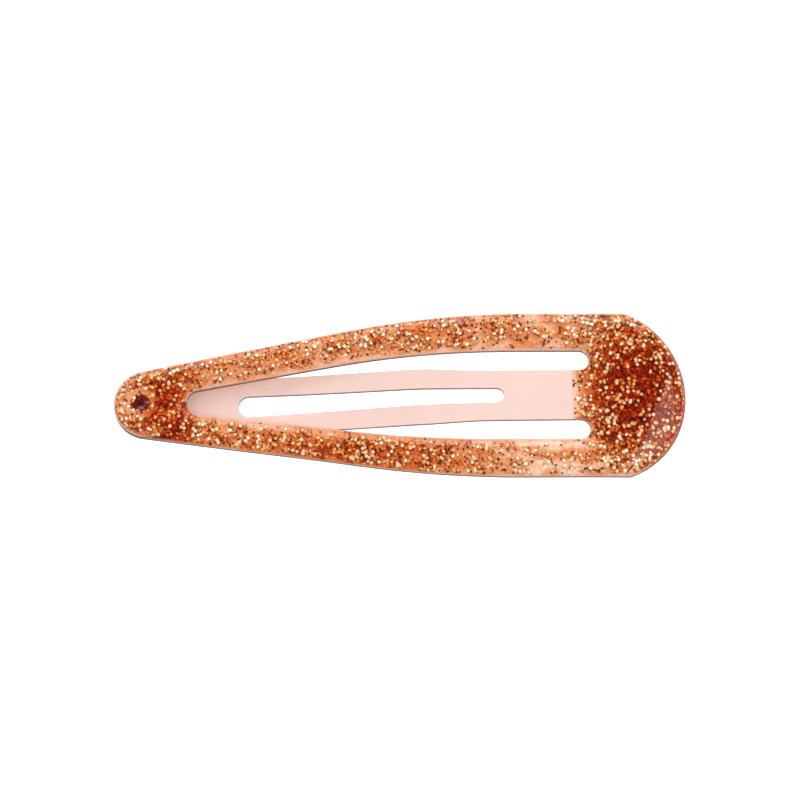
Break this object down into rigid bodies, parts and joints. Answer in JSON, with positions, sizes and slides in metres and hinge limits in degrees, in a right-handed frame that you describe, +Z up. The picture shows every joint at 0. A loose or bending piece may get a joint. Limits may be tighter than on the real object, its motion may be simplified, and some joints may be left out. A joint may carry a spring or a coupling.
{
  "type": "snap hair clip",
  "caption": "Teardrop snap hair clip with a bowed sprung frame, a slotted clamping tongue and a domed glitter resin coat.",
  "frame": {"origin": "middle of the clip's footprint, on the surface that it lies on", "axes": "+X from the riveted tip to the broad crown, +Z up through the glitter side"},
  "size_m": [0.05, 0.0146, 0.0036],
  "materials": {
    "lacquered_steel": "pale pink lacquer on bright spring steel, glossy",
    "rivet_metal": "coppery lacquered eyelet",
    "glitter_resin": "glossy clear resin, tinted orange, full of copper, gold and cream glitter flakes"
  },
  "bodies": {
    "frame": {"spring_frame": "lacquered_steel", "eyelet_rivet": "rivet_metal", "glitter_coat": "glitter_resin"},
    "tongue": {"clamp_tongue": "lacquered_steel"}
  },
  "joints": [
    {"name": "tongue_snap", "type": "hinge", "parent": "frame", "child": "tongue", "pos_m": [0.0153, 0, 0.00212], "axis": [0, -1, 0], "range_deg": [0, 22]}
  ]
}
